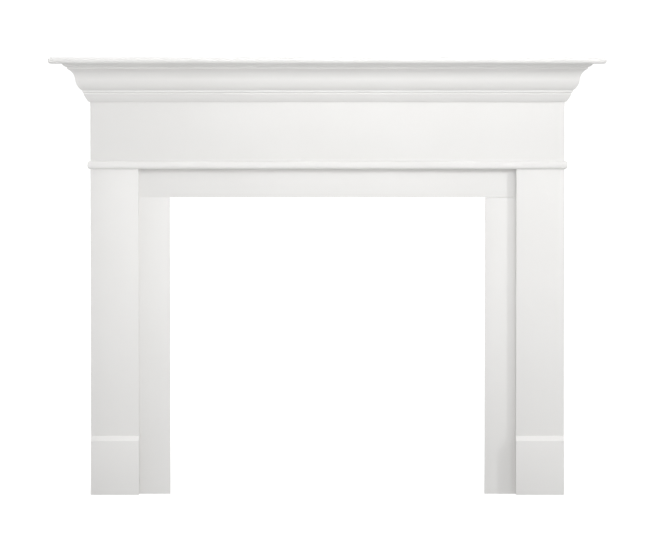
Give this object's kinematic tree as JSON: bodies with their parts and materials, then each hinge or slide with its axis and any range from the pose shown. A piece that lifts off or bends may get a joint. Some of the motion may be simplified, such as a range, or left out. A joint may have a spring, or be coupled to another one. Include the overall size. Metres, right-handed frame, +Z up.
{
  "type": "fireplace mantelpiece",
  "caption": "White-painted wooden fireplace mantelpiece: flat pilasters on plinth blocks, plain frieze, crown moulding and bullnosed shelf round a firebox opening.",
  "frame": {"origin": "on the floor, at the middle of the width and of the depth from the shelf's nose to the wall", "axes": "+X along the shelf to the right seen from the front, +Y towards the wall, +Z up"},
  "size_m": [1.787, 0.23, 1.4135],
  "materials": {
    "painted_board": "satin white paint over smooth board",
    "painted_moulding": "satin white paint over moulding",
    "painted_shelf": "satin white paint over smooth board",
    "painted_filler": "satin white paint over smooth board"
  },
  "bodies": {
    "root": {"shelf": "painted_shelf", "crown_front": "painted_moulding", "crown_left_return": "painted_moulding", "crown_right_return": "painted_moulding", "astragal_front": "painted_moulding", "astragal_left_return": "painted_moulding", "astragal_right_return": "painted_moulding", "frieze_board": "painted_board", "header_left_end": "painted_board", "header_right_end": "painted_board", "header_bottom_board": "painted_board", "left_pilaster_face": "painted_board", "left_pilaster_inner_side": "painted_board", "left_pilaster_outer_side": "painted_board", "left_plinth_block": "painted_board", "right_pilaster_face": "painted_board", "right_pilaster_inner_side": "painted_board", "right_pilaster_outer_side": "painted_board", "right_plinth_block": "painted_board", "filler_header": "painted_filler", "filler_left_leg": "painted_filler", "filler_right_leg": "painted_filler"}
  },
  "joints": []
}
